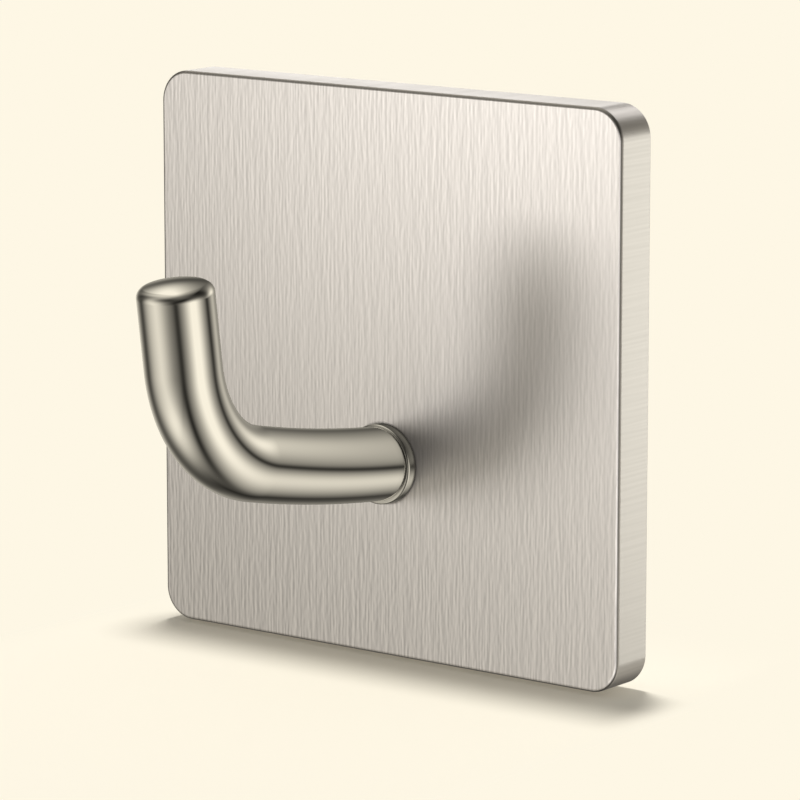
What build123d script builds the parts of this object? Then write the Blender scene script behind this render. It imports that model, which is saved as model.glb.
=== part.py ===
from build123d import *
import os
from math import cos, radians, sin, tan

# Self-adhesive wall hook: a square pressed steel plate with a bent round hook.
# Units are millimetres. The origin is the centre of the adhesive face, which lies on the wall.
# +Y points into the wall, +Z is up and the hook stands out towards -Y.

# Pressed plate: a shallow square pan, open towards the wall
plate_side = 46.0
plate_depth = 4.0
sheet_thickness = 1.0
plate_corner_radius = 2.6
plate_edge_radius = 0.3
pan_floor_radius = 0.4
rim_break = 0.15

# Foam pad that fills the pan and stands proud of its rim
pad_proud = 0.6
pad_side_gap = 0.2
pad_corner_radius = 1.0
pad_hole_gap = 0.7

# Hook: round bar that leaves the plate tilted up a little, bows, bends and ends in a domed tip
hook_drop = 7.2
rod_diameter = 6.0
foot_tilt = 5.3
arm_length = 16.9
arm_bow = 7.1
bend_radius = 10.3
bend_angle = 69.5
upper_arm_length = 6.8
tip_crown = 0.4
tip_edge_radius = 0.8
collar_step = 0.25
collar_height = 0.9
collar_edge_radius = 0.2

# Machine screw that holds the hook from inside the pan
thread_diameter = 3.0
screw_length = 6.0
screw_tip_chamfer = 0.4
head_diameter = 5.6
head_height = 2.4
head_edge_radius = 1.0
recess_span = 2.9
recess_width = 0.8
recess_depth = 1.4
recess_taper = 8.0
screw_hole_gap = 0.15
thread_gap = 0.05
tapped_hole_spare = 1.0
drill_point_angle = 118.0

# Places that follow from the sizes above
rod_radius = rod_diameter / 2
thread_radius = thread_diameter / 2
front_depth = pad_proud + plate_depth
floor_depth = front_depth - sheet_thickness
tapped_radius = thread_radius + thread_gap
drill_point_height = tapped_radius / tan(radians(drill_point_angle / 2))
tapped_depth = screw_length - sheet_thickness + tapped_hole_spare
hook_seat = (0, -front_depth, -hook_drop)
head_seat = (0, -floor_depth, -hook_drop)
wall_plane = Plane.XZ
rim_plane = Plane.XZ.offset(pad_proud)
seat_outwards = Plane(origin=hook_seat, x_dir=(1, 0, 0), z_dir=(0, -1, 0))
seat_inwards = Plane(origin=hook_seat, x_dir=(1, 0, 0), z_dir=(0, 1, 0))
head_plane = Plane(origin=head_seat, x_dir=(1, 0, 0), z_dir=(0, 1, 0))

# Face plate: drawn from sheet, with a crisp front edge and a screw hole behind the hook
with BuildPart() as face_plate:
    with BuildSketch(rim_plane):
        RectangleRounded(plate_side, plate_side, plate_corner_radius)
    extrude(amount=plate_depth)
    rim_face = face_plate.faces().sort_by(Axis.Y)[-1]
    offset(amount=-sheet_thickness, openings=rim_face)
    front_face = face_plate.faces().filter_by(Axis.Y).sort_by(Axis.Y)[0]
    fillet(front_face.edges(), radius=plate_edge_radius)
    floor_face = face_plate.faces().filter_by(Axis.Y).sort_by(Axis.Y)[1]
    fillet(floor_face.edges(), radius=pan_floor_radius)
    rim_face = face_plate.faces().filter_by(Axis.Y).sort_by(Axis.Y)[-1]
    chamfer(rim_face.outer_wire().edges(), length=rim_break)
    with Locations(seat_outwards):
        Hole(radius=thread_radius + screw_hole_gap, depth=sheet_thickness)
face_plate.part.label = "face_plate"

# Hook rod: the bar's centre line lies in the plate's upright middle plane
crown_radius = (rod_radius**2 + tip_crown**2) / (2 * tip_crown)
tip_shoulder = 2 * tip_edge_radius
tip_length = tip_shoulder + tip_crown
foot_spare = rod_diameter * sin(radians(foot_tilt))
with BuildLine(Plane.YZ) as centre_line:
    foot = Line(
        (foot_spare - front_depth, -foot_spare * tan(radians(foot_tilt)) - hook_drop),
        (-front_depth, -hook_drop),
    )
    arm = JernArc(foot @ 1, foot % 1, radius=arm_length / radians(arm_bow), arc_size=-arm_bow)
    bend = JernArc(arm @ 1, arm % 1, radius=bend_radius, arc_size=-bend_angle)
    upper_arm = Line(bend @ 1, bend @ 1 + (bend % 1) * (upper_arm_length - tip_length))

bar_start = Plane(origin=foot @ 0, x_dir=(1, 0, 0), z_dir=foot % 0)
tip_direction = upper_arm % 1
tip_plane = Plane(origin=upper_arm @ 1, x_dir=(1, 0, 0), z_dir=Vector(1, 0, 0).cross(tip_direction))

with BuildPart() as hook_rod:
    with BuildSketch(seat_outwards):
        Circle(rod_radius + collar_step)
    extrude(amount=collar_height)
    collar_rim = hook_rod.edges().filter_by(GeomType.CIRCLE).sort_by(Axis.Y)[0]
    fillet(collar_rim, radius=collar_edge_radius)
    with BuildSketch(bar_start):
        Circle(rod_radius)
    sweep(path=centre_line.line)
    split(bisect_by=seat_outwards, keep=Keep.TOP)
    with BuildSketch(tip_plane) as tip_half:
        with BuildLine():
            axis_side = Line((0, 0), (0, tip_length))
            crown = RadiusArc(axis_side @ 1, (rod_radius, tip_shoulder), radius=crown_radius)
            Polyline(crown @ 1, (rod_radius, 0), axis_side @ 0)
        make_face()
        shoulder = tip_half.vertices().group_by(Axis.X)[-1].sort_by(Axis.Y)[-1]
        fillet(shoulder, radius=tip_edge_radius)
    revolve(axis=Axis(tip_plane.origin, tip_direction))
    with Locations(seat_inwards):
        Hole(radius=tapped_radius, depth=tapped_depth)
    with Locations(seat_outwards.offset(tapped_depth)):
        Cone(
            bottom_radius=tapped_radius,
            top_radius=0,
            height=drill_point_height,
            align=(Align.CENTER, Align.CENTER, Align.MIN),
            mode=Mode.SUBTRACT,
        )
hook_rod.part.label = "hook_rod"

# Fixing screw: pan head with a cross recess, seated on the pan's floor
with BuildPart() as fixing_screw:
    with BuildSketch(head_plane):
        Circle(head_diameter / 2)
    extrude(amount=head_height)
    head_rim = fixing_screw.edges().filter_by(GeomType.CIRCLE).sort_by(Axis.Y)[-1]
    fillet(head_rim, radius=head_edge_radius)
    with BuildSketch(head_plane):
        Circle(thread_radius)
    extrude(amount=-screw_length)
    screw_tip = fixing_screw.edges().filter_by(GeomType.CIRCLE).sort_by(Axis.Y)[0]
    chamfer(screw_tip, length=screw_tip_chamfer)
    with BuildSketch(head_plane.offset(head_height)):
        Rectangle(recess_span, recess_width)
        Rectangle(recess_width, recess_span)
    extrude(amount=-recess_depth, taper=recess_taper, mode=Mode.SUBTRACT)
fixing_screw.part.label = "fixing_screw"

# Adhesive pad: die-cut foam, cleared around the screw head
pad_side = plate_side - 2 * (sheet_thickness + pan_floor_radius + pad_side_gap)
with BuildPart() as adhesive_pad:
    with BuildSketch(wall_plane):
        RectangleRounded(pad_side, pad_side, pad_corner_radius)
        with Locations((0, -hook_drop)):
            Circle(head_diameter / 2 + pad_hole_gap, mode=Mode.SUBTRACT)
    extrude(amount=floor_depth)
adhesive_pad.part.label = "adhesive_pad"

os.makedirs("parts", exist_ok=True)
for piece in (face_plate, hook_rod, fixing_screw, adhesive_pad):
    export_step(piece.part, f"parts/{piece.part.label}.step")
    print(piece.part.label, "volume", round(piece.part.volume, 1), "mm3")
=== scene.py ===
# %% [markdown]
# # A stick-on wall hook
# This small hook is glued to a wall. A square plate of brushed steel carries one bent, polished bar, a
# screw inside the plate holds the bar, and a foam pad behind the plate sticks to the wall. The solids
# come ready from the CAD model. This lesson models the pieces again where a mirror finish needs
# smoother surfaces, and gives each a finish.

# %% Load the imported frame
import math

import bmesh
import bpy
from mathutils import Matrix, Vector


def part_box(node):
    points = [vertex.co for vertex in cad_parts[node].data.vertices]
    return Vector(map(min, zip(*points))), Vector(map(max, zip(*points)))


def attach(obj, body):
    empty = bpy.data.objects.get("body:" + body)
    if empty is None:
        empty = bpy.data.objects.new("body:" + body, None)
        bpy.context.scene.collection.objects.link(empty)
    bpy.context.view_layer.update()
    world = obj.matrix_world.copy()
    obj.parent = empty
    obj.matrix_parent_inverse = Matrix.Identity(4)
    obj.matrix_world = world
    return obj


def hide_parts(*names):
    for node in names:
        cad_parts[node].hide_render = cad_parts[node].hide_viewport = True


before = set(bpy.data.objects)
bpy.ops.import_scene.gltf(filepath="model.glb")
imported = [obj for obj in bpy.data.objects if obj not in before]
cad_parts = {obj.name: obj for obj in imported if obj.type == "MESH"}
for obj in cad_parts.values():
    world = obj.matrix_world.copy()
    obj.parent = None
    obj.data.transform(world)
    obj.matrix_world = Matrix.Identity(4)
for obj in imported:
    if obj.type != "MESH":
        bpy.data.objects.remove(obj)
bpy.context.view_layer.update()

MM = 0.001
scene = bpy.context.scene
plate_low, plate_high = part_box("face_plate")
for node_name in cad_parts:
    low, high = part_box(node_name)
    print(node_name, "measures", [round(side / MM, 2) for side in high - low], "mm")

# %% [markdown]
# ## Helpers for pieces
# Every piece ends the same way: the bmesh becomes a mesh, the mesh becomes an object at the origin, and
# the object rides on the frame's only body. Smooth shading would bend the light on flat faces next to a
# small round edge, so a Weighted Normal modifier keeps the big faces flat and leaves the turn to the
# round.

# %% Turn a bmesh into an object, and an object into a piece
FULL_WEIGHT = 100


def new_object(name, bm):
    mesh = bpy.data.meshes.new(name)
    bm.to_mesh(mesh)
    bm.free()
    thing = bpy.data.objects.new(name, mesh)
    scene.collection.objects.link(thing)
    return thing


def shade_smooth(bm):
    for face in bm.faces:
        face.smooth = True


def make_piece(name, bm, stands_for):
    shade_smooth(bm)
    piece = new_object(name, bm)
    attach(piece, "root")
    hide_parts(stands_for)
    print(name, "has", len(piece.data.polygons), "faces")
    return piece


def keep_flats_flat(piece):
    modifier = piece.modifiers.new("flat faces stay flat", "WEIGHTED_NORMAL")
    modifier.keep_sharp = True
    modifier.weight = FULL_WEIGHT


print("helpers ready: new_object, make_piece and keep_flats_flat")

# %% [markdown]
# ## Blocks and round edges
# The plate and the pad both start as a block that fills the box of their solid. Their rounds have one
# radius along a whole edge, so Bevel with a circular profile makes them. The edges to round are picked
# by where they lie: along the hook's depth, or all at one depth.

# %% Make a block, pick its edges and round them
TOUCHING = 0.001 * MM
CIRCULAR = 0.5


def block(low, high):
    bm = bmesh.new()
    fit = Matrix.Translation((low + high) / 2) @ Matrix.Diagonal((*(high - low), 1.0))
    bmesh.ops.create_cube(bm, size=1.0, matrix=fit)
    return bm


def edges_along_depth(bm, length):
    return [edge for edge in bm.edges if abs(edge.verts[0].co.y - edge.verts[1].co.y) > length]


def edges_at_depth(bm, depth):
    return [edge for edge in bm.edges if all(abs(vert.co.y - depth) < TOUCHING for vert in edge.verts)]


def round_edges(bm, edges, radius, segments):
    print("rounding", len(edges), "edges to", round(radius / MM, 2), "mm")
    bmesh.ops.bevel(
        bm, geom=edges, offset=radius, affect="EDGES", segments=segments, profile=CIRCULAR, material=-1
    )


print("helpers ready: block, edges_along_depth, edges_at_depth and round_edges")

# %% [markdown]
# ## Drilled and joined solids
# A round hole through a flat sheet could be bridged by hand, loop to loop. A Boolean modifier is
# shorter to read: a plain tool shape is taken away from the piece or joined to it, the result is kept
# and the tool is thrown away. Slivers that the cut leaves are merged, so what is left is one closed
# skin with no faces inside, and a crease is marked sharp so that smooth shading stops there.

# %% Combine two solids, and drill a round hole along the depth of the hook
crease_angle = math.radians(35)
sliver = 0.004 * MM
ring_segments = 128
ALONG_DEPTH = Matrix.Rotation(math.radians(90), 4, "X")


def merge_slivers(mesh):
    skin = bmesh.new()
    skin.from_mesh(mesh)
    bmesh.ops.remove_doubles(skin, verts=skin.verts, dist=sliver)
    bmesh.ops.dissolve_degenerate(skin, dist=sliver, edges=skin.edges)
    skin.to_mesh(mesh)
    skin.free()


def combine(piece, tool_bm, operation):
    shade_smooth(tool_bm)
    tool = new_object("tool", tool_bm)
    modifier = piece.modifiers.new("solid", "BOOLEAN")
    modifier.object = tool
    modifier.operation = operation
    modifier.solver = "EXACT"
    depsgraph = bpy.context.evaluated_depsgraph_get()
    combined = bpy.data.meshes.new_from_object(piece.evaluated_get(depsgraph))
    piece.modifiers.remove(modifier)
    piece.data = combined
    bpy.data.objects.remove(tool)
    merge_slivers(combined)
    combined.set_sharp_from_angle(angle=crease_angle)


def round_block(radius, place, length):
    bm = bmesh.new()
    bmesh.ops.create_cone(
        bm, cap_ends=True, segments=ring_segments, radius1=radius, radius2=radius, depth=length,
        matrix=Matrix.Translation(place) @ ALONG_DEPTH,
    )
    return bm


def drill(piece, radius, place, length):
    combine(piece, round_block(radius, place, length), "DIFFERENCE")
    print(piece.name, "has a hole", round(2 * radius / MM, 2), "mm wide")


print("helpers ready: combine, round_block and drill")

# %% [markdown]
# ## The plate
# The plate is pressed from sheet steel into a shallow square pan. A block gets its four corners
# rounded, the back face is inset by the sheet's thickness and pushed in, and the front edge gets the
# small round that a press leaves. The pan's floor is rounded too, and its rim is broken so that it does
# not cut.

# %% Model the pressed plate
sheet_thickness = 1.0 * MM
corner_radius, corner_segments = 2.6 * MM, 24
front_round, front_segments = 0.3 * MM, 8
floor_round, floor_segments = 0.4 * MM, 4
rim_break, rim_segments = 0.15 * MM, 2
rim_turn = math.radians(60)
hook_drop = 7.2 * MM
screw_hole_radius = 1.65 * MM
screw_hole_cut = 4 * sheet_thickness

plate_size = plate_high - plate_low
plate_middle = (plate_low + plate_high) / 2
front_depth = plate_low.y
floor_depth = front_depth + sheet_thickness
seat = Vector((0.0, front_depth, -hook_drop))

bm = block(plate_low, plate_high)
round_edges(bm, edges_along_depth(bm, plate_size.y / 2), corner_radius, corner_segments)
back = max(bm.faces, key=lambda face: face.calc_center_median().y)
bmesh.ops.inset_region(bm, faces=[back], thickness=sheet_thickness, use_even_offset=True)
bmesh.ops.inset_region(bm, faces=[back], thickness=0.0, depth=sheet_thickness - plate_size.y)
round_edges(bm, edges_at_depth(bm, front_depth), front_round, front_segments)
round_edges(bm, edges_at_depth(bm, floor_depth), floor_round, floor_segments)
rim_edges = [edge for edge in edges_at_depth(bm, plate_high.y) if edge.calc_face_angle(0.0) > rim_turn]
round_edges(bm, rim_edges, rim_break, rim_segments)
bmesh.ops.recalc_face_normals(bm, faces=bm.faces)
plate = make_piece("brushed_plate", bm, "face_plate")
drill(plate, screw_hole_radius, Vector((0.0, floor_depth, -hook_drop)), screw_hole_cut)
keep_flats_flat(plate)

# %% [markdown]
# ## Pulling a ring of vertices
# The hook is a round bar that was bent cold. A curve with a round bevel could make it, but spin follows
# the maker's way: a ring of vertices is swept round the centre of each bend, just as a bar is pulled
# round a former. Each helper gives back the last ring, from which the next stretch goes on.

# %% Pull a ring straight or round a centre
TURN_AXIS = Vector((-1.0, 0.0, 0.0))


def heading(rise):
    return Vector((0.0, -math.cos(rise), math.sin(rise)))


def turning_side(rise):
    return Vector((0.0, math.sin(rise), math.cos(rise)))


def ring_parts(geometry):
    verts = [part for part in geometry if isinstance(part, bmesh.types.BMVert)]
    edges = [part for part in geometry if isinstance(part, bmesh.types.BMEdge)]
    return verts, edges


def pull_straight(bm, edges, towards, length):
    grown = bmesh.ops.extrude_edge_only(bm, edges=edges)["geom"]
    verts, new_edges = ring_parts(grown)
    bmesh.ops.translate(bm, verts=verts, vec=towards * length)
    last = set(verts)
    print("pulled straight for", round(length / MM, 2), "mm")
    return verts, [edge for edge in new_edges if all(vert in last for vert in edge.verts)]


def pull_round(bm, verts, edges, centre, angle, steps):
    swept = bmesh.ops.spin(bm, geom=verts + edges, cent=centre, axis=TURN_AXIS, angle=angle, steps=steps)
    print("pulled round by", round(math.degrees(angle), 1), "degrees")
    return ring_parts(swept["geom_last"])


print("helpers ready: pull_straight and pull_round")

# %% [markdown]
# ## The hook
# The bar is 6 mm round. It leaves the plate tilted up by a few degrees, bows a little more and bends
# up. It starts a short way behind the plate's front, so that its tilted end can be trimmed flush later.

# %% Sweep the bar
bar_radius = 3.0 * MM
foot_tilt = math.radians(5.3)
arm_length = 16.9 * MM
arm_bow, bow_steps = math.radians(7.1), 24
bend_radius = 10.3 * MM
bend_angle, bend_steps = math.radians(69.5), 64

foot_spare = 2 * bar_radius * math.sin(foot_tilt)
start = seat - heading(foot_tilt) * foot_spare
foot_turn = heading(foot_tilt).to_track_quat("Z", "Y").to_matrix().to_4x4()
bm = bmesh.new()
bmesh.ops.create_circle(
    bm, segments=ring_segments, radius=bar_radius, matrix=Matrix.Translation(start) @ foot_turn
)
verts, edges = pull_straight(bm, list(bm.edges), heading(foot_tilt), foot_spare)
bow_radius = arm_length / arm_bow
bow_centre = seat + turning_side(foot_tilt) * bow_radius
verts, edges = pull_round(bm, verts, edges, bow_centre, arm_bow, bow_steps)
arm_rise = foot_tilt + arm_bow
arm_end = bow_centre - turning_side(arm_rise) * bow_radius
bend_centre = arm_end + turning_side(arm_rise) * bend_radius
verts, edges = pull_round(bm, verts, edges, bend_centre, bend_angle, bend_steps)
tip_rise = arm_rise + bend_angle
bend_end = bend_centre - turning_side(tip_rise) * bend_radius
print("bar swept to", [round(value / MM, 2) for value in bend_end], "mm")

# %% [markdown]
# ## The tip
# The bar's end is turned: a shallow dome with a rounded shoulder. One vertex of the last ring is spun
# round the shoulder's centre and then round the dome's centre, which draws the profile, and the profile
# is spun round the bar's own axis. Because it starts from a vertex of the ring, the tip closes on the
# bar with no gap.

# %% Turn the domed tip
upper_arm_length = 6.8 * MM
tip_crown, crown_steps = 0.4 * MM, 12
tip_round, shoulder_steps = 0.8 * MM, 14
weld = 0.0005 * MM

tip_direction = heading(tip_rise)
apex = bend_end + tip_direction * upper_arm_length
crown_radius = (bar_radius**2 + tip_crown**2) / (2 * tip_crown)
shoulder_reach = bar_radius - tip_round
shoulder_drop = crown_radius - math.sqrt((crown_radius - tip_round) ** 2 - shoulder_reach**2)
verts, edges = pull_straight(bm, edges, tip_direction, upper_arm_length - shoulder_drop)

shoulder_level = apex - tip_direction * shoulder_drop
outwards = (verts[0].co - shoulder_level).normalized()
crown_part = math.asin(shoulder_reach / (crown_radius - tip_round))
profile_end = bm.verts.new(verts[0].co)
for centre, angle, steps in (
    (shoulder_level + outwards * shoulder_reach, math.pi / 2 - crown_part, shoulder_steps),
    (apex - tip_direction * crown_radius, crown_part, crown_steps),
):
    arc = bmesh.ops.spin(
        bm, geom=[profile_end], cent=centre, axis=outwards.cross(tip_direction), angle=angle, steps=steps
    )
    profile_end = ring_parts(arc["geom_last"])[0][0]
profile_edges = [edge for edge in bm.edges if not edge.link_faces]
profile_verts = list(dict.fromkeys(vert for edge in profile_edges for vert in edge.verts))
bmesh.ops.spin(
    bm, geom=profile_verts + profile_edges, cent=shoulder_level, axis=tip_direction,
    angle=2 * math.pi, steps=ring_segments, use_merge=True,
)
bmesh.ops.remove_doubles(bm, verts=bm.verts, dist=weld)
print("tip ends at", [round(value / MM, 2) for value in apex], "mm")

# %% [markdown]
# ## The foot
# At the plate the bar is cut flush, so a bisecting plane trims the swept tube there and the cut end is
# closed. A thin collar with a rounded rim hides the joint on the real hook. It is turned from the same
# piece as the bar, so the two are joined into one solid before the blind hole for the screw is drilled.

# %% Trim the foot, add the collar and drill the hole
tapped_radius = 1.55 * MM
tapped_depth = 6.0 * MM
collar_radius = 3.25 * MM
collar_height = 0.9 * MM
collar_round, collar_segments = 0.2 * MM, 6

bmesh.ops.bisect_plane(
    bm, geom=list(bm.verts) + list(bm.edges) + list(bm.faces), dist=TOUCHING,
    plane_co=seat, plane_no=(0.0, 1.0, 0.0), clear_outer=True,
)
bmesh.ops.remove_doubles(bm, verts=bm.verts, dist=TOUCHING)
bmesh.ops.holes_fill(bm, edges=[edge for edge in bm.edges if edge.is_boundary])
bmesh.ops.recalc_face_normals(bm, faces=bm.faces)
hook = make_piece("polished_hook", bm, "hook_rod")

collar = round_block(collar_radius, seat - Vector((0.0, collar_height / 2, 0.0)), collar_height)
collar_rim = edges_at_depth(collar, front_depth - collar_height)
round_edges(collar, collar_rim, collar_round, collar_segments)
bmesh.ops.recalc_face_normals(collar, faces=collar.faces)
combine(hook, collar, "UNION")
drill(hook, tapped_radius, seat, 2 * tapped_depth)
keep_flats_flat(hook)
print("joined hook has", len(hook.data.polygons), "faces")

# %% [markdown]
# ## The foam pad
# The pad is die-cut from a sheet of firm closed-cell foam, so it has upright sides, a softly rounded
# back edge and a clean round hole over the screw. A bevelled block is enough for its form: the foam's
# cells are far smaller than its edges and belong in the finish.

# %% Model the foam pad
pad_corner, pad_corner_segments = 1.0 * MM, 12
pad_edge_round, pad_edge_segments = 0.25 * MM, 4
pad_hole_radius = 3.5 * MM

pad_low, pad_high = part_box("adhesive_pad")
pad_thickness = pad_high.y - pad_low.y
pad_hole_middle = Vector((0.0, pad_low.y + pad_thickness / 2, -hook_drop))
bm = block(pad_low, pad_high)
round_edges(bm, edges_along_depth(bm, pad_thickness / 2), pad_corner, pad_corner_segments)
round_edges(bm, edges_at_depth(bm, pad_high.y), pad_edge_round, pad_edge_segments)
bmesh.ops.recalc_face_normals(bm, faces=bm.faces)
pad = make_piece("foam_pad", bm, "adhesive_pad")
drill(pad, pad_hole_radius, pad_hole_middle, 2 * pad_thickness)
keep_flats_flat(pad)

# %% [markdown]
# ## Node helpers
# A material is a small graph of nodes. The first helpers add a node, set its inputs by name and wire it
# up. The others give the steps that come back in each finish a short name, so that a finish reads as a
# list of what it does.

# %% Add and wire nodes
def wire(tree, node, inputs):
    for key, value in inputs.items():
        if isinstance(value, bpy.types.NodeSocket):
            tree.links.new(value, node.inputs[key])
        else:
            node.inputs[key].default_value = value


def add(tree, kind, inputs=None, **settings):
    node = tree.nodes.new(kind)
    for key, value in settings.items():
        setattr(node, key, value)
    wire(tree, node, inputs or {})
    return node


def new_material(name):
    material = bpy.data.materials.new(name)
    material.use_nodes = True
    tree = material.node_tree
    print("new material", name)
    return material, tree, tree.nodes["Principled BSDF"]


def dress(thing, material):
    thing.data.materials.clear()
    thing.data.materials.append(material)
    print(thing.name, "wears", material.name, "with", len(material.node_tree.nodes), "nodes")


print("helpers ready: wire, add, new_material and dress")

# %% [markdown]
# ## Steps of a finish
# Most of a finish is arithmetic: noise gives a value between 0 and 1, a value is moved to another range
# or turned into a tone, and two tones are blended by a mask. All of it starts from Object coordinates,
# which are metres on the piece itself, so a finish stays in place when the piece is moved.

# %% Name the steps that come back
UNIT = (0.0, 1.0)
NUMBER_RESULTS = ("DOT_PRODUCT", "DISTANCE", "LENGTH")


def object_place(tree):
    return add(tree, "ShaderNodeTexCoord").outputs["Object"]


def split(tree, vector):
    return add(tree, "ShaderNodeSeparateXYZ", {0: vector}).outputs


def surface_normal(tree):
    return split(tree, add(tree, "ShaderNodeNewGeometry").outputs["Normal"])


def noise(tree, place, scale, detail):
    node = add(tree, "ShaderNodeTexNoise", {"Vector": place, "Scale": scale, "Detail": detail})
    return node.outputs["Fac"]


def calculate(tree, operation, first, second=0.0):
    return add(tree, "ShaderNodeMath", {0: first, 1: second}, operation=operation).outputs[0]


def with_vectors(tree, operation, first, second=(0.0, 0.0, 0.0)):
    node = add(tree, "ShaderNodeVectorMath", {0: first, 1: second}, operation=operation)
    return node.outputs["Value" if operation in NUMBER_RESULTS else "Vector"]


def remap(tree, value, given, wanted, interpolation="LINEAR"):
    limits = {"From Min": given[0], "From Max": given[1], "To Min": wanted[0], "To Max": wanted[1]}
    node = add(tree, "ShaderNodeMapRange", {"Value": value, **limits}, interpolation_type=interpolation)
    return node.outputs[0]


def blend(tree, share, first, second, kind="FLOAT"):
    node = add(tree, "ShaderNodeMix", {"Factor": share, "A": first, "B": second}, data_type=kind)
    return node.outputs["Result"]


def tone_ramp(tree, value, low_tone, high_tone):
    ramp = add(tree, "ShaderNodeValToRGB", {"Fac": value})
    ramp.color_ramp.elements[0].color = low_tone
    ramp.color_ramp.elements[1].color = high_tone
    return ramp.outputs["Color"]


def mask_ramp(tree, value, stops):
    ramp = add(tree, "ShaderNodeValToRGB", {"Fac": value})
    for position, level in stops:
        stop = ramp.color_ramp.elements.new(position)
        stop.color = (level, level, level, 1.0)
    # A new ramp comes with a stop of its own at the end, which is not needed here.
    ramp.color_ramp.elements.remove(ramp.color_ramp.elements[-1])
    return ramp.outputs["Color"]


print("helpers ready: noise, calculate, with_vectors, remap, blend, tone_ramp and mask_ramp")

# %% [markdown]
# ## Brush strokes
# Brushed steel is covered in fine parallel scratches from an abrasive belt. The belt ploughs a groove
# and pushes up a ridge beside it, so a stroke is noise less the same noise a little to the side. The
# group gives one stroke value that colour, roughness and relief share: a scratch is dark, rough and
# deep in one place.

# %% Build the brush stroke group
stroke_contrast = (-0.3, 0.3)
plain_scale, no_detail = 1.0, 0.0


def stroke_group():
    group = bpy.data.node_groups.new("Brush strokes", "ShaderNodeTree")
    for name in ("Position", "Beside"):
        group.interface.new_socket(name, in_out="INPUT", socket_type="NodeSocketVector")
    group.interface.new_socket("Strokes", in_out="OUTPUT", socket_type="NodeSocketFloat")
    given = add(group, "NodeGroupInput").outputs
    beside = with_vectors(group, "ADD", given["Position"], given["Beside"])
    groove = noise(group, given["Position"], plain_scale, no_detail)
    ridge = noise(group, beside, plain_scale, no_detail)
    step = calculate(group, "SUBTRACT", groove, ridge)
    add(group, "NodeGroupOutput", {"Strokes": remap(group, step, stroke_contrast, UNIT)})
    return group


strokes = stroke_group()
print("group", strokes.name, "has sockets", [item.name for item in strokes.interface.items_tree])

# %% [markdown]
# ## Strokes on the face and on the sides
# The plate's face is brushed upright and its thin sides are brushed across their depth. The belt leaves
# long strokes with shorter ones between them, so the face blends the two. A Mapping node squeezes each
# across the stroke and stretches it along: its scale counts strokes per metre in x, y and z. The
# strokes are calmer to the right and high up on the face, and on the sides they are faint.

# %% Lay the strokes
long_strokes = (5500.0, 5500.0, 300.0)
short_strokes = (5500.0, 5500.0, 1200.0)
short_shift = (0.0, 40.0, 0.0)
short_share = 0.366
side_strokes = (1200.0, 120.0, 5500.0)
side_range = (0.5, 0.59)
ridge_across_face = (0.9, 0.0, 0.0)
ridge_across_side = (0.0, 0.0, 0.9)
calm_to_right = (0.0, 0.225)
calm_upwards = (0.1, 0.5)
calm_height = 2 * MM
middle_stroke = 0.5


def lay_strokes(tree, place, per_metre, beside, shift=(0.0, 0.0, 0.0)):
    mapping = add(tree, "ShaderNodeMapping", {"Vector": place, "Location": shift, "Scale": per_metre})
    inputs = {"Position": mapping.outputs[0], "Beside": beside}
    return add(tree, "ShaderNodeGroup", inputs, node_tree=strokes).outputs["Strokes"]


def strokes_on_sides(tree, place):
    return remap(tree, lay_strokes(tree, place, side_strokes, ridge_across_side), UNIT, side_range)


def strokes_on_face(tree, place):
    long = lay_strokes(tree, place, long_strokes, ridge_across_face)
    short = lay_strokes(tree, place, short_strokes, ridge_across_face, short_shift)
    spot = split(tree, place)
    to_right = remap(tree, spot["X"], (plate_low.x, plate_high.x), calm_to_right)
    upwards = remap(tree, spot["Z"], (plate_low.z, calm_height), calm_upwards)
    calm = calculate(tree, "ADD", to_right, upwards)
    return blend(tree, calm, blend(tree, short_share, long, short), middle_stroke)


print("strokes on the face are", [round(1 / count / MM, 2) for count in long_strokes], "mm in x, y and z")

# %% [markdown]
# ## Brushed steel
# The surface normal says whether a point lies on the face or on a side, so the strokes turn at the edge
# as they do on the real plate. On the front round they fade into a thin painted dark reflection, weaker
# along the top where more light falls, and a dark ring of painted contact shadow lies on the plate round
# the bar's collar, where the collar meets the plate.

# %% Finish the plate
face_turn = (0.4, 0.9)
painted_edge_reflection_stops = ((0.0, 0.0), (0.4, 0.0), (0.5, 1.0), (0.78, 1.0), (0.88, 0.0))
top_turn, painted_edge_reflection_towards_top = (0.3, 0.7), (1.0, 0.2)
contact_shadow_width = 0.2 * MM
contact_shadow_strength = (0.6, 0.0)
groove_tone, ridge_tone = (0.32, 0.309, 0.307, 1.0), (0.636, 0.615, 0.611, 1.0)
painted_edge_reflection_tone, painted_contact_shadow_tone = (0.23, 0.223, 0.217, 1.0), (0.1, 0.097, 0.093, 1.0)
brushed_roughness = (0.455, 0.345)
stroke_relief = {"Strength": 0.16, "Distance": 0.01 * MM}
brushed_metal = {"Metallic": 1.0, "Anisotropic": 0.1}


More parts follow.
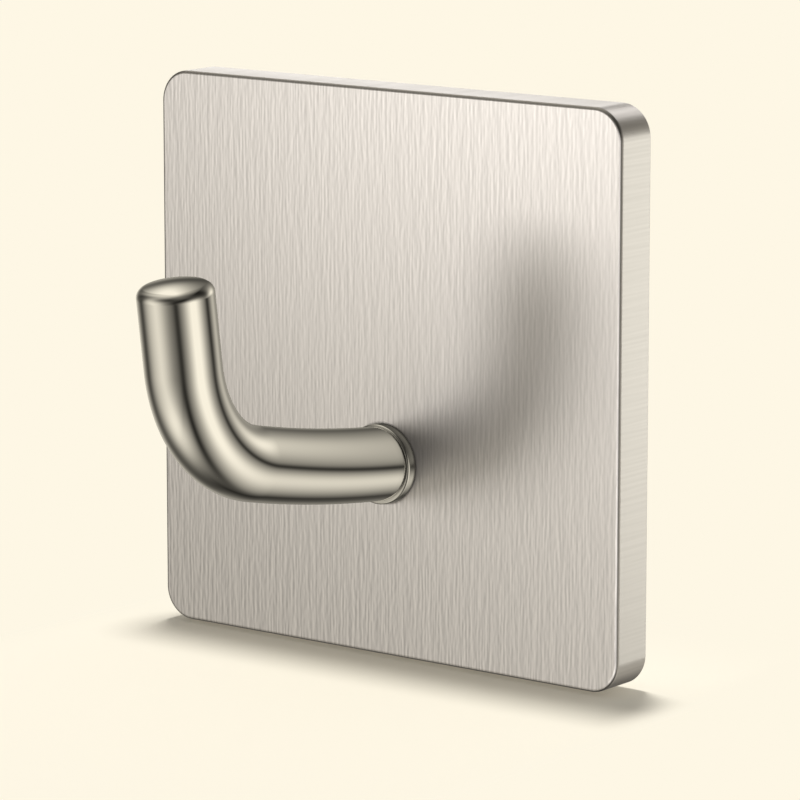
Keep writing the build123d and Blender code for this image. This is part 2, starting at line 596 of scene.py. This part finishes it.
def brushed_steel():
    material, tree, shader = new_material("brushed steel")
    place = object_place(tree)
    normal = surface_normal(tree)
    facing = calculate(tree, "ABSOLUTE", normal["Y"])
    on_face = remap(tree, facing, face_turn, UNIT)
    stroke = blend(tree, on_face, strokes_on_sides(tree, place), strokes_on_face(tree, place))
    tone = tone_ramp(tree, stroke, groove_tone, ridge_tone)
    # Painted dark reflection: a thin dark line on the front round, weaker where the round faces up and
    # more light falls.
    not_on_top = remap(tree, normal["Z"], top_turn, painted_edge_reflection_towards_top)
    edge = calculate(tree, "MULTIPLY", mask_ramp(tree, facing, painted_edge_reflection_stops), not_on_top)
    with_painted_edge_reflection = blend(tree, edge, tone, painted_edge_reflection_tone, "RGBA")
    # Painted contact shadow: a dark ring on the plate just round the collar, where the bar meets the
    # plate.
    from_foot = with_vectors(tree, "DISTANCE", place, seat)
    ring = remap(tree, from_foot, (collar_radius, collar_radius + contact_shadow_width), contact_shadow_strength, "SMOOTHSTEP")
    colour = blend(tree, ring, with_painted_edge_reflection, painted_contact_shadow_tone, "RGBA")
    rough = remap(tree, stroke, UNIT, brushed_roughness)
    relief = add(tree, "ShaderNodeBump", {"Height": stroke, **stroke_relief}).outputs[0]
    wire(tree, shader, {"Base Color": colour, "Roughness": rough, "Normal": relief, **brushed_metal})
    return material


dress(plate, brushed_steel())

# %% [markdown]
# ## Polished steel
# The bar is buffed until it works as a mirror. A perfect mirror looks like a drawing, so a soft cloud
# of noise leaves a faint haze in the roughness where the buffing wheel passed. The wheel does not reach
# into the corner at the collar, which stays dull. The dark and grey bands of colour over the collar are
# painted shade and reflection, darkest where the collar meets the plate.

# %% Finish the bar
haze_scale, haze_detail = 220.0, 3.0
haze_range, haze_roughness = (0.3, 0.7), (0.025, 0.05)
haze_tone, mirror_tone = (0.94, 0.93, 0.91, 1.0), (0.97, 0.96, 0.94, 1.0)
collar_shade_reach = 1.8 * MM
painted_collar_shade_stops = (
    (0.0, 0.0), (0.3, 0.1), (0.47, 0.6), (0.53, 0.25),
    (0.61, 0.35), (0.86, 0.35), (0.9, 0.6), (1.0, 0.9),
)
painted_collar_shade_tone, corner_roughness = (0.1, 0.097, 0.092, 1.0), 0.35


def polished_steel():
    material, tree, shader = new_material("polished steel")
    place = object_place(tree)
    haze = noise(tree, place, haze_scale, haze_detail)
    buffed = remap(tree, haze, haze_range, haze_roughness)
    tone = tone_ramp(tree, haze, haze_tone, mirror_tone)
    near_foot = remap(tree, split(tree, place)["Y"], (front_depth - collar_shade_reach, front_depth), UNIT)
    # Painted shade and reflection over the collar: bands of dark and grey, darkest where the collar meets
    # the plate.
    corner = mask_ramp(tree, near_foot, painted_collar_shade_stops)
    colour = blend(tree, corner, tone, painted_collar_shade_tone, "RGBA")
    rough = blend(tree, corner, buffed, corner_roughness)
    wire(tree, shader, {"Base Color": colour, "Roughness": rough, "Metallic": 1.0})
    return material


dress(hook, polished_steel())

# %% [markdown]
# ## Zinc plate
# The screw is a bought part, zinc plated in a barrel, which gives a pale and slightly cloudy grey. One
# noise moves its tone and its roughness together. The screw keeps the mesh of its solid, because it
# hides inside the pad's hole.

# %% Finish the screw
zinc_scale, zinc_detail = 900.0, 4.0
zinc_dark, zinc_light = (0.5, 0.51, 0.52, 1.0), (0.68, 0.69, 0.7, 1.0)
zinc_roughness = (0.2, 0.45)


def zinc_plate():
    material, tree, shader = new_material("zinc plate")
    cloud = noise(tree, object_place(tree), zinc_scale, zinc_detail)
    tone = tone_ramp(tree, cloud, zinc_dark, zinc_light)
    rough = remap(tree, cloud, UNIT, zinc_roughness)
    wire(tree, shader, {"Base Color": tone, "Roughness": rough, "Metallic": 1.0})
    return material


zinc = zinc_plate()
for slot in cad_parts["fixing_screw"].material_slots:
    slot.material = zinc
print("fixing_screw wears", zinc.name)

# %% [markdown]
# ## White foam
# The foam is white with cells a fraction of a millimetre wide, drawn by a Voronoi texture. Its back
# carries a film of adhesive that is smoother than the cut sides, so the roughness follows the surface
# normal. A slower noise makes the pad gently uneven.

# %% Finish the pad
cells_per_metre = 3500.0
uneven_scale, uneven_detail = 350.0, 3.0
cell_middle, cell_wall = (0.86, 0.85, 0.82, 1.0), (0.7, 0.69, 0.66, 1.0)
film_turn, film_roughness = (0.8, 1.0), (0.9, 0.4)
foam_relief = {"Strength": 0.4, "Distance": 0.05 * MM}


def white_foam():
    material, tree, shader = new_material("white foam")
    place = object_place(tree)
    voronoi = add(tree, "ShaderNodeTexVoronoi", {"Vector": place, "Scale": cells_per_metre})
    cells = voronoi.outputs["Distance"]
    tone = tone_ramp(tree, cells, cell_middle, cell_wall)
    rough = remap(tree, surface_normal(tree)["Y"], film_turn, film_roughness)
    height = calculate(tree, "ADD", cells, noise(tree, place, uneven_scale, uneven_detail))
    relief = add(tree, "ShaderNodeBump", {"Height": height, **foam_relief}).outputs[0]
    wire(tree, shader, {"Base Color": tone, "Roughness": rough, "Normal": relief})
    return material


dress(pad, white_foam())

# %% [markdown]
# ## Camera
# The photograph looks down a little on the hook from its right, from far away with a long lens. The
# camera is placed by its angles and its distance from a point near the plate's middle. Azimuth 0 is
# straight in front.

# %% Place the camera
view_azimuth = 37.58
view_elevation = 10.5
view_distance = 368.8 * MM
aim = Vector((1.28, -4.06, -1.99)) * MM
focal_length = 207.54
sensor_width = 36.0
nearest, farthest = 10 * MM, 100.0


def direction(azimuth, elevation):
    turn, tilt = math.radians(azimuth), math.radians(elevation)
    return Vector((math.sin(turn) * math.cos(tilt), -math.cos(turn) * math.cos(tilt), math.sin(tilt)))


towards_camera = direction(view_azimuth, view_elevation)
camera_data = bpy.data.cameras.new("camera")
camera_data.lens = focal_length
camera_data.sensor_width = sensor_width
camera_data.clip_start = nearest
camera_data.clip_end = farthest
camera = bpy.data.objects.new("camera", camera_data)
camera.location = aim + towards_camera * view_distance
camera.rotation_euler = (-towards_camera).to_track_quat("-Z", "Y").to_euler()
scene.collection.objects.link(camera)
scene.camera = camera
print("camera at", [round(value / MM, 1) for value in camera.location], "mm")

# %% [markdown]
# ## Background
# A pale cream room surrounds the hook. The camera and every mirror see the world as that cream, while
# it lights the scene in plain white, so the background keeps its colour and the metal does not turn
# yellow. A Light Path node tells the two kinds of ray apart.

# %% Build the world
cream = (0.991, 0.93, 0.783, 1.0)
white = (1.0, 1.0, 1.0, 1.0)
ambient_strength = 0.36


def seen_directly(tree):
    path = add(tree, "ShaderNodeLightPath").outputs
    camera_or_mirror = calculate(tree, "MAXIMUM", path["Is Camera Ray"], path["Is Glossy Ray"])
    return calculate(tree, "MAXIMUM", camera_or_mirror, path["Is Transmission Ray"])


world = bpy.data.worlds.new("cream room")
scene.world = world
world.use_nodes = True
room = world.node_tree
room.nodes.clear()
ambient = add(room, "ShaderNodeBackground", {"Color": white, "Strength": ambient_strength})
backdrop = add(room, "ShaderNodeBackground", {"Color": cream, "Strength": 1.0})
shown = add(
    room, "ShaderNodeMixShader", {0: seen_directly(room), 1: ambient.outputs[0], 2: backdrop.outputs[0]}
)
add(room, "ShaderNodeOutputWorld", {"Surface": shown.outputs[0]})
world.cycles.sampling_method = "NONE"
print("world", world.name, "has", len(room.nodes), "nodes")

# %% [markdown]
# ## Floor
# A plain floor would end in a grey horizon. This one has the background's cream as its colour, and only
# a soft patch in front of the plate takes the shadow. The patch ends soon beside the plate, and further
# out the floor glows in the background's cream, so the two meet without a seam.

# %% Build the floor
floor_gap = 0.3 * MM
floor_half_width = 2.0
patch_forward = Vector((0.0, 20 * MM, 0.0))
patch_spare = Vector((1.9 * MM, 0.0, 0.0))
sideways_haste = (8.8, 1.0, 1.0)
fade_range = (12 * MM, 40 * MM)

floor_place = Matrix.Translation((0.0, 0.0, plate_low.z - floor_gap))
bm = bmesh.new()
bmesh.ops.create_grid(bm, x_segments=1, y_segments=1, size=floor_half_width, matrix=floor_place)
floor = new_object("floor", bm)
floor.visible_glossy = False
floor.visible_shadow = False


def floor_finish():
    material, tree, shader = new_material("pale floor")
    tree.nodes.remove(shader)
    from_middle = with_vectors(tree, "SUBTRACT", object_place(tree), plate_middle - patch_forward)
    off_middle = with_vectors(tree, "ABSOLUTE", from_middle)
    beyond = with_vectors(tree, "SUBTRACT", off_middle, plate_size / 2 + patch_spare)
    outside = with_vectors(tree, "MAXIMUM", beyond)
    reach = with_vectors(tree, "LENGTH", with_vectors(tree, "MULTIPLY", outside, sideways_haste))
    fade = remap(tree, reach, fade_range, UNIT, "SMOOTHSTEP")
    paper = add(tree, "ShaderNodeBsdfDiffuse", {"Color": cream})
    glow = add(tree, "ShaderNodeEmission", {"Color": cream, "Strength": seen_directly(tree)})
    both = add(tree, "ShaderNodeMixShader", {0: fade, 1: paper.outputs[0], 2: glow.outputs[0]})
    wire(tree, tree.nodes["Material Output"], {"Surface": both.outputs[0]})
    return material


dress(floor, floor_finish())

# %% [markdown]
# ## A tent with soft openings
# Polished metal shows the room more than its own colour. A photographer therefore works in a dark tent
# with a few openings, and the dark gaps between them draw the lines along the bar. An opening here is a
# patch on the tent's wall that fades out smoothly, wide or narrow in each direction. The group is built
# once and used for every opening and every flag.

# %% Build the soft patch group
FALL_OFF = math.exp(-1)
patch_inputs = {
    "Direction": "NodeSocketVector",
    "Facing": "NodeSocketVector",
    "Across": "NodeSocketVector",
    "Upright": "NodeSocketVector",
    "Strength": "NodeSocketFloat",
}


def soft_patch_group():
    group = bpy.data.node_groups.new("Soft patch", "ShaderNodeTree")
    for name, kind in patch_inputs.items():
        group.interface.new_socket(name, in_out="INPUT", socket_type=kind)
    group.interface.new_socket("Patch", in_out="OUTPUT", socket_type="NodeSocketFloat")
    given = add(group, "NodeGroupInput").outputs
    facing, across, upright = (
        with_vectors(group, "DOT_PRODUCT", given["Direction"], given[name])
        for name in ("Facing", "Across", "Upright")
    )
    off_middle = add(group, "ShaderNodeCombineXYZ", {0: across, 1: upright}).outputs[0]
    squared = with_vectors(group, "DOT_PRODUCT", off_middle, off_middle)
    fade = calculate(group, "POWER", FALL_OFF, squared)
    front_only = calculate(group, "MAXIMUM", facing, 0.0)
    shaped = calculate(group, "MULTIPLY", fade, front_only)
    add(group, "NodeGroupOutput", {"Patch": calculate(group, "MULTIPLY", shaped, given["Strength"])})
    return group


soft_patch = soft_patch_group()
print("group", soft_patch.name, "has sockets", [item.name for item in soft_patch.interface.items_tree])

# %% [markdown]
# ## Openings and flags
# Each opening has a place as azimuth and elevation, a roll, a width, a height and a strength. A flag is
# a dark cloth that covers part of what the openings show, and it is placed in the same way. Openings
# are added up first, and each flag then takes its share away.

# %% Weave the tent's wall
tent_leak = 0.0088
black = (0.0, 0.0, 0.0, 1.0)
openings = (
    ("front left, tall", -35.1, 29.0, 25.9, 0.750, 2.979, 1.40),
    ("front left, low", -25.2, -56.1, 4.3, 0.544, 0.397, 0.74),
    ("right, wide", 91.0, -13.2, -49.4, 2.383, 0.500, 1.21),
    ("back right", 163.5, -1.2, -26.1, 0.321, 0.493, 1.48),
    ("back left, low", -130.4, -6.6, -24.5, 0.757, 0.437, 0.86),
    ("back left, high", -131.3, 24.6, -5.0, 0.132, 0.855, 1.11),
)
flags = (
    ("back right", 152.1, -7.9, 11.1, 0.627, 0.287, 0.81),
    ("front", 47.2, -52.6, 13.8, 0.137, 1.617, 0.85),
    ("left", -80.2, -8.1, -20.5, 0.319, 1.971, 0.83),
    ("right, high", 55.5, 21.8, 37.7, 1.965, 0.513, 0.95),
    ("back right, thin", 141.6, -8.4, -14.2, 0.189, 0.079, 0.79),
    ("ceiling", 7.2, 36.3, -1.4, 1.946, 0.665, 0.89),
    ("back left", -134.2, 18.4, 16.4, 0.607, 0.290, 0.90),
    ("behind", -139.6, -11.5, -2.4, 0.232, 0.476, 0.76),
    ("left, high", -87.7, 19.8, -34.4, 0.287, 0.748, 0.81),
)


def place_patch(tree, looking, name, azimuth, elevation, roll, width, height, strength):
    facing = direction(azimuth, elevation)
    level = direction(azimuth + 90, 0)
    turn = Matrix.Rotation(math.radians(roll), 3, facing)
    across = turn @ level / width
    upright = turn @ facing.cross(level) / height
    shape = {"Facing": facing, "Across": across, "Upright": upright, "Strength": strength}
    inputs = {"Direction": looking, **shape}
    return add(tree, "ShaderNodeGroup", inputs, node_tree=soft_patch, label=name).outputs["Patch"]


def tent_wall():
    material, tree, shader = new_material("tent wall")
    tree.nodes.remove(shader)
    looking = with_vectors(tree, "NORMALIZE", object_place(tree))
    light = tent_leak
    for opening in openings:
        light = calculate(tree, "ADD", light, place_patch(tree, looking, *opening))
    for flag in flags:
        left_over = calculate(tree, "SUBTRACT", 1.0, place_patch(tree, looking, *flag))
        light = calculate(tree, "MULTIPLY", light, left_over)
    share = add(tree, "ShaderNodeClamp", {"Value": light}).outputs[0]
    cloth = add(tree, "ShaderNodeBsdfDiffuse", {"Color": black})
    gap = add(tree, "ShaderNodeBsdfTransparent")
    wall = add(tree, "ShaderNodeMixShader", {0: share, 1: cloth.outputs[0], 2: gap.outputs[0]})
    wire(tree, tree.nodes["Material Output"], {"Surface": wall.outputs[0]})
    return material


print("tent with", len(openings), "openings and", len(flags), "flags")

# %% [markdown]
# ## Pitching the tent
# The tent is seen only by mirrors: the camera looks through it to the cream room, and it casts no
# shadow. The bar mirrors the studio and not the plate behind it, as in the photograph, so the plate and
# the pad are left out of mirror rays.

# %% Pitch the tent
hook_middle = Vector((0.0, -20.0, 0.0)) * MM
tent_radius = 0.9
tent_fineness = 4

bm = bmesh.new()
bmesh.ops.create_icosphere(bm, subdivisions=tent_fineness, radius=tent_radius)
tent = new_object("tent", bm)
tent.location = hook_middle
dress(tent, tent_wall())
tent.visible_camera = False
tent.visible_diffuse = False
tent.visible_shadow = False
tent.visible_transmission = False
for behind in (plate, pad):
    behind.visible_glossy = False

# %% [markdown]
# ## The lamps
# The key lamp stands at the front left, a little above the hook. It brightens the top of the plate and
# leaves the hook's soft shadow to the right of its foot. A weak fill lamp comes from below on the
# right, with no shadow of the hook, and three lamps from behind light the plate's thin sides. One lamp
# high up lights only the floor, where it draws the plate's short shadow, and one lights only the foam
# pad at the back. A row of the table gives a lamp's azimuth and elevation in degrees, its distance and
# its size in metres, and its power in watts.

# %% Hang the lamps
warm_white = (1.0, 0.97, 0.92)
straw_white = (1.0, 0.98, 0.87)
plate_lamps = (
    ("key lamp", -28.3, 3.2, 0.303, 0.095, 0.161),
    ("fill lamp", 25.2, -17.3, 0.116, 0.149, 0.1),
    ("rim lamp", 143.0, -5.0, 0.3, 0.16, 0.14),
    ("top lamp", -142.0, 14.0, 0.3, 0.16, 0.13),
    ("corner lamp", -178.0, 38.0, 0.3, 0.16, 0.12),
)
floor_lamp_place = Vector((-0.027, 0.035, 0.397))
floor_lamp_size, floor_lamp_power = 0.065, 1.22
pad_lamp_distance = 0.4
pad_lamp_place = plate_middle + direction(180.0, 20.0) * pad_lamp_distance
pad_lamp_size, pad_lamp_power = 0.3, 1.0


def receivers(name, thing):
    collection = bpy.data.collections.new(name)
    collection.objects.link(thing)
    return collection


def hang_lamp(name, place, size, power, lit):
    data = bpy.data.lights.new(name, "AREA")
    data.shape = "DISK"
    data.size = size
    data.energy = power
    lamp = bpy.data.objects.new(name, data)
    lamp.location = place
    lamp.rotation_euler = (plate_middle - place).to_track_quat("-Z", "Y").to_euler()
    lamp.visible_camera = False
    scene.collection.objects.link(lamp)
    lamp.light_linking.receiver_collection = lit
    print(name, "hangs", round((place - plate_middle).length / MM), "mm from the plate")
    return lamp


lit_plate = receivers("lit plate", plate)
lamps = {}
for name, azimuth, elevation, distance, size, power in plate_lamps:
    lamps[name] = hang_lamp(
        name, plate_middle + direction(azimuth, elevation) * distance, size, power, lit_plate
    )
    lamps[name].data.color = warm_white
lamps["rim lamp"].data.color = straw_white
lamps["fill lamp"].light_linking.blocker_collection = lit_plate
lit_floor = receivers("lit floor", floor)
floor_lamp = hang_lamp("floor lamp", floor_lamp_place, floor_lamp_size, floor_lamp_power, lit_floor)
floor_lamp.light_linking.blocker_collection = lit_plate
hang_lamp("pad lamp", pad_lamp_place, pad_lamp_size, pad_lamp_power, receivers("lit pad", pad))

# %% [markdown]
# ## View settings
# The Standard view transform shows colours as they are written.

# %% Finish
scene.view_settings.view_transform = "Standard"
